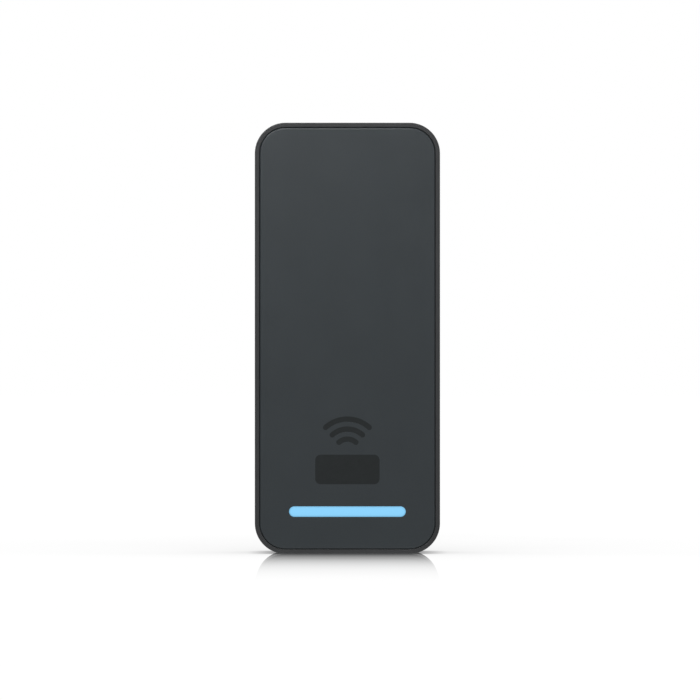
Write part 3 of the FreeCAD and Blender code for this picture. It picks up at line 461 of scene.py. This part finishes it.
def jack_steel(name):
    s = plated(name, (0.72, 0.70, 0.66), 0.24, (1, 7, 1), 1.5e-6, 0.12, wear=0.25)
    s.roughen(s.span(s.cloud(5 * MM, 4.0, 0.6, (1, 1, 1), 0.8), 0.5, 0.7), 0.22)
    return s.done()


def gold_contact(name):
    return plated(name, (0.92, 0.68, 0.30), 0.20, (1, 1, 6), 0.8e-6, 0.10, wear=0.2).done()


def gasket_foam(name):
    return foam(name, (0.030, 0.030, 0.032), 0.28 * MM).done()


def gasket_silicone(name):
    s = Surface(name, (0.16, 0.165, 0.17), 0.52, Subsurface_Weight=0.15, Subsurface_Scale=0.6 * MM)
    s.shade(s.cloud(3 * MM, 3.0), 0.88, 1.08)
    s.roughen(s.cloud(1.5 * MM, 3.0), 0.18)
    s.bump(s.cloud(0.2 * MM, 3.0), 5e-6)
    return s.done()


def membrane(name):
    """White expanded film: fibrous, slightly sheer."""
    s = Surface(name, (0.80, 0.81, 0.80), 0.75, Subsurface_Weight=0.3, Subsurface_Scale=0.3 * MM,
                Sheen_Weight=0.2)
    fibres = s.cloud(0.09 * MM, 4.0, 0.7, (5, 1, 1), 1.2)
    s.shade(fibres, 0.88, 1.05)
    s.bump(fibres, 8e-6)
    return s.done()


def cover_plastic(name):
    """Rear cover: coarser grain than the housing, and round ejector-pin marks on a grid."""
    s = moulded(name, (0.026, 0.027, 0.029), 0.56, 0.22 * MM, 9e-6, 0.10, wear=0.45, waves=8e-6)
    pitch = 13.5 * MM
    mark_r = 1.65 * MM
    soft = 0.1 * MM
    offsets = []
    for letter, shift in (("x", 0.5), ("z", 0.15)):
        cell = s.math("FRACT", s.math("ADD", s.math("DIVIDE", s.axis(letter), pitch), shift))
        offsets.append(s.math("MULTIPLY", s.math("SUBTRACT", cell, 0.5), pitch))
    reach = s.length(*offsets)
    disc = s.span(reach, mark_r - soft, mark_r + soft, 1.0, 0.0)
    outer = s.span(reach, mark_r - 3.5 * soft, mark_r - soft)
    ring = s.math("SUBTRACT", outer, s.math("SUBTRACT", 1.0, disc))
    s.roughen(disc, -0.12)
    s.bump(disc, -30e-6)
    s.bump(s.math("MAXIMUM", ring, 0.0), 20e-6)
    return s.done()


def insert_brass(name):
    """Brass with a fine uneven knurl."""
    s = plated(name, (0.80, 0.58, 0.27), 0.30, (1, 1, 1), 1.2e-6, 0.12, wear=0.4)
    s.bump(s.cells(0.30 * MM, "F1", (1, 1.6, 1)), 40e-6)
    return s.done()


def label_film(name):
    """Blank matt silver polyester film with a fine brushed print."""
    s = Surface(name, (0.60, 0.61, 0.62), 0.42, metallic=0.55)
    s.shade(s.cloud(0.06 * MM, 2.0, 0.5, (30, 1, 1)), 0.90, 1.06)
    s.shade(s.cloud(8 * MM, 2.0), 0.95, 1.04)
    s.roughen(s.cloud(4 * MM, 4.0), 0.12)
    s.bump(s.cloud(2.2 * MM, 2.0), 6e-6)
    return s.done()


def spring_steel(name):
    return plated(name, (0.60, 0.60, 0.60), 0.25, (1, 1, 1), 1e-6, 0.15, wear=0.2).done()


def plunger_plastic(name):
    s = moulded(name, (0.72, 0.72, 0.69), 0.36, 0.15 * MM, 3e-6, 0.03, Subsurface_Weight=0.2,
                Subsurface_Scale=0.8 * MM)
    return s.done()


def button_rubber(name):
    s = Surface(name, (0.060, 0.061, 0.063), 0.72, Sheen_Weight=0.2)
    s.shade(s.cloud(1.5 * MM, 3.0), 0.85, 1.15)
    s.roughen(s.cloud(0.8 * MM, 3.0), 0.15)
    s.bump(s.cloud(0.12 * MM, 3.0), 6e-6)
    return s.done()


def nylon_ring(name):
    return moulded(name, (0.70, 0.69, 0.64), 0.40, 0.12 * MM, 3e-6, 0.04).done()


def black_screw(name):
    """Black-oxide steel: dark, slightly brown, bright only where a key has rubbed it."""
    s = Surface(name, (0.060, 0.058, 0.057), 0.38, metallic=0.85)
    s.shade(s.cloud(0.9 * MM, 4.0, 0.6), 0.75, 1.25)
    s.roughen(s.cloud(0.5 * MM, 4.0), 0.18)
    s.bump(s.cloud(0.10 * MM, 3.0, 0.6), 3e-6)
    s.wear(0.15 * MM, (0.45, 0.44, 0.43), 0.55, 0.1)
    return s.done()


def bracket_steel(name):
    """Hot-dip zinc over pressed steel: large crystal spangles, fine drawn grain, dull patches."""
    s = plated(name, (0.56, 0.57, 0.58), 0.40, (1, 1, 8), 2e-6, 0.10, wear=0.15)
    spangle = s.cells(4.2 * MM, "F1", (1, 1, 1), "Color")
    s.shade(spangle, 0.88, 1.10)
    s.roughen(spangle, 0.10)
    dull = s.span(s.cloud(11 * MM, 4.0, 0.6), 0.50, 0.68)
    s.tint(s.math("MULTIPLY", dull, 0.35), (0.46, 0.47, 0.48))
    s.bump(s.cloud(0.5 * MM, 3.0), 4e-6)
    return s.done()


FINISHES = (
    housing_plastic, panel_plastic, symbol_print, lit_lens, diffuser, led_package, adhesive,
    circuit_board, copper, ferrite, connector_plastic, screw_steel, chip_plastic, tinned_steel,
    can_aluminium, jack_steel, gold_contact, gasket_foam, gasket_silicone, membrane, cover_plastic,
    insert_brass, label_film, spring_steel, plunger_plastic, button_rubber, nylon_ring, black_screw,
    bracket_steel,
)


def finish_nodes():
    """Gives every CAD node the finish of its material slot; returns the finishes by slot name."""
    made = {finish.__name__: finish(finish.__name__ + "_look") for finish in FINISHES}
    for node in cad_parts.values():
        for place in node.material_slots:
            place.material = made[place.material.name]
    return made


# ---------------------------------------------------------------- pieces remade in mesh

def soften_gasket(looks):
    """The foam gasket on the wall side, remade as a soft sheet with rounded, uneven edges."""
    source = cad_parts["wall_gasket"]
    piece = bpy.data.objects.new("wall_gasket_foam", source.data.copy())
    bpy.context.scene.collection.objects.link(piece)
    remesh = piece.modifiers.new("even", "REMESH")
    remesh.mode = "VOXEL"
    remesh.voxel_size = FOAM_GRID
    remesh.use_smooth_shade = True
    smooth = piece.modifiers.new("soft", "SMOOTH")
    smooth.factor = FOAM_EASING
    smooth.iterations = FOAM_EASING_STEPS
    bpy.context.view_layer.update()
    whole = piece.evaluated_get(bpy.context.evaluated_depsgraph_get())
    mesh = bpy.data.meshes.new_from_object(whole)
    piece.modifiers.clear()
    piece.data = mesh
    low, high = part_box("wall_gasket")
    skin = [(vertex.co.copy(), vertex.normal.copy()) for vertex in mesh.vertices]
    places = []
    for at, outward in skin:
        at += outward * (noise.noise(at / FOAM_SWELL_SPREAD) * FOAM_SWELL)
        at.y = min(max(at.y, low.y), high.y)
        places.extend(at)
    mesh.vertices.foreach_set("co", places)
    mesh.update()
    piece.data.materials.clear()
    piece.data.materials.append(looks["gasket_foam"])
    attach(piece, "wall_mount")
    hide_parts("wall_gasket")


# ---------------------------------------------------------------- studio

def sky_seen(surface, reach):
    """Share of the sky over a floor point that nothing nearer than the reach covers."""
    made = surface.node("ShaderNodeAmbientOcclusion", samples=16)
    made.inputs["Distance"].default_value = reach
    return made.outputs["AO"]


def build_floor():
    """A white table top that mirrors only the foot of the reader and darkens where it touches."""
    low, high = CAD_BOX
    half = FLOOR_HALF_SIDE
    mesh = bpy.data.meshes.new("floor")
    turns = ((-1, -1), (1, -1), (1, 1), (-1, 1))
    corners = [(half * x, half * y, low.z) for x, y in turns]
    mesh.from_pydata(corners, [], [(0, 1, 2, 3)])
    floor = bpy.data.objects.new("floor", mesh)
    bpy.context.scene.collection.objects.link(floor)

    s = Surface("white_table", WHITE, 0.5)
    seen = s.rays("Is Camera Ray", "Is Singular Ray")
    middle_y = (low.y + high.y) / 2
    half_depth = (high.y - low.y) / 2
    front = s.math("MAXIMUM", s.math("SUBTRACT", low.y, s.axis("y")), 0.0)
    shadow = 0.0
    for reach, depth in SHADOWS:
        covered = s.math("SUBTRACT", 1.0, sky_seen(s, reach))
        shadow = s.math("MULTIPLY_ADD", covered, depth, shadow)
    ahead_fade = s.math("EXPONENT", s.math("DIVIDE", front, -SHADOW_AHEAD))
    shadow = s.math("MULTIPLY", s.math("MULTIPLY", shadow, ahead_fade), seen, clamp=True)
    tone = s.span(s.cloud(60 * MM, 3.0), 0.2, 0.8, 1.0, 1.02)
    shaded = s.mix(shadow, (*WHITE, 1.0), (*SHADOW_TINT, 1.0))
    glow = s.node("ShaderNodeEmission")
    s.join(shaded, glow.inputs["Color"])

    mirror = s.node("ShaderNodeBsdfGlossy")
    mirror.inputs["Roughness"].default_value = 0.0
    s.join(shaded, mirror.inputs["Color"])
    aside = s.math("MAXIMUM", s.math("SUBTRACT", s.math("ABSOLUTE", s.axis("x")), high.x), 0.0)
    ahead = s.math("ABSOLUTE", s.math("SUBTRACT", s.axis("y"), middle_y))
    ahead = s.math("MAXIMUM", s.math("SUBTRACT", ahead, half_depth), 0.0)
    away = s.length(aside, ahead)
    bounce = s.math("EXPONENT", s.math("DIVIDE", away, -FOOT_SPREAD))
    bounce = s.math("MULTIPLY_ADD", bounce, FOOT_BOUNCE, FLOOR_BOUNCE)
    strength = s.span(seen, 0.0, 1.0, bounce, 1.0)
    s.join(s.math("MULTIPLY", strength, tone), glow.inputs["Strength"])
    soft_end = s.math("POWER", s.math("DIVIDE", away, MIRROR_SOFT_END), 2.0)
    fade = s.math("ADD", s.math("DIVIDE", away, MIRROR_FADE), soft_end)
    fade = s.math("EXPONENT", s.math("MULTIPLY", fade, -1.0))
    facing = s.node("ShaderNodeLayerWeight").outputs["Facing"]
    grazing = s.math("POWER", facing, 3.0)
    share = s.math("MULTIPLY", s.math("MULTIPLY", fade, grazing), MIRROR_AT_FOOT, clamp=True)
    share = s.math("MULTIPLY", share, s.rays("Is Camera Ray"))
    s.show(share, glow, mirror)
    mesh.materials.append(s.material)


def build_world():
    """White to the eye; to the reader a soft grey room, brighter overhead than in front."""
    world = bpy.data.worlds.new("studio")
    bpy.context.scene.world = world
    world.use_nodes = True
    w = Nodes(world.node_tree, "ShaderNodeOutputWorld")
    white = w.node("ShaderNodeBackground")
    white.inputs["Color"].default_value = (*WHITE, 1.0)
    toward = w.node("ShaderNodeSeparateXYZ")
    w.join(w.node("ShaderNodeTexCoord").outputs["Generated"], toward.inputs[0])
    from_above = w.span(toward.outputs["Z"], ROOM_LOWEST, 1.0, ROOM_LOW, ROOM_HIGH, "LINEAR")
    sideways = w.math("ABSOLUTE", toward.outputs["X"])
    from_aside = w.span(sideways, ROOM_FRONT, 1.0, 1.0, ROOM_SIDES, "LINEAR")
    room = w.node("ShaderNodeBackground")
    w.join(w.math("MULTIPLY", from_above, from_aside), room.inputs["Strength"])
    w.show(w.rays("Is Camera Ray", "Is Singular Ray"), room, white)


def hang(name, place, aim, size, power):
    """A softbox that lights the reader without being seen."""
    lamp = bpy.data.lights.new(name, "AREA")
    lamp.shape = "RECTANGLE"
    lamp.size, lamp.size_y = size
    lamp.energy = power
    holder = bpy.data.objects.new(name, lamp)
    holder.location = place
    holder.rotation_euler = (Vector(aim) - Vector(place)).to_track_quat("-Z", "Y").to_euler()
    holder.visible_camera = False
    bpy.context.scene.collection.objects.link(holder)


def build_camera():
    low, high = CAD_BOX
    lens = bpy.data.cameras.new("camera")
    lens.sensor_width = SENSOR
    lens.lens = SENSOR * CAMERA_DISTANCE / FRAMED_WIDTH
    lens.clip_start = 10 * MM
    lens.clip_end = 50.0
    camera = bpy.data.objects.new("camera", lens)
    middle = (low + high) / 2
    camera.location = (middle.x + CAMERA_ASIDE, low.y - CAMERA_DISTANCE, middle.z - CAMERA_DROP)
    camera.rotation_euler = (math.radians(90), 0, 0)
    bpy.context.scene.collection.objects.link(camera)
    bpy.context.scene.camera = camera


looks = finish_nodes()
soften_gasket(looks)
build_floor()
build_world()
for softbox in SOFTBOXES:
    hang(*softbox)
build_camera()
bpy.context.scene.view_settings.view_transform = "Standard"
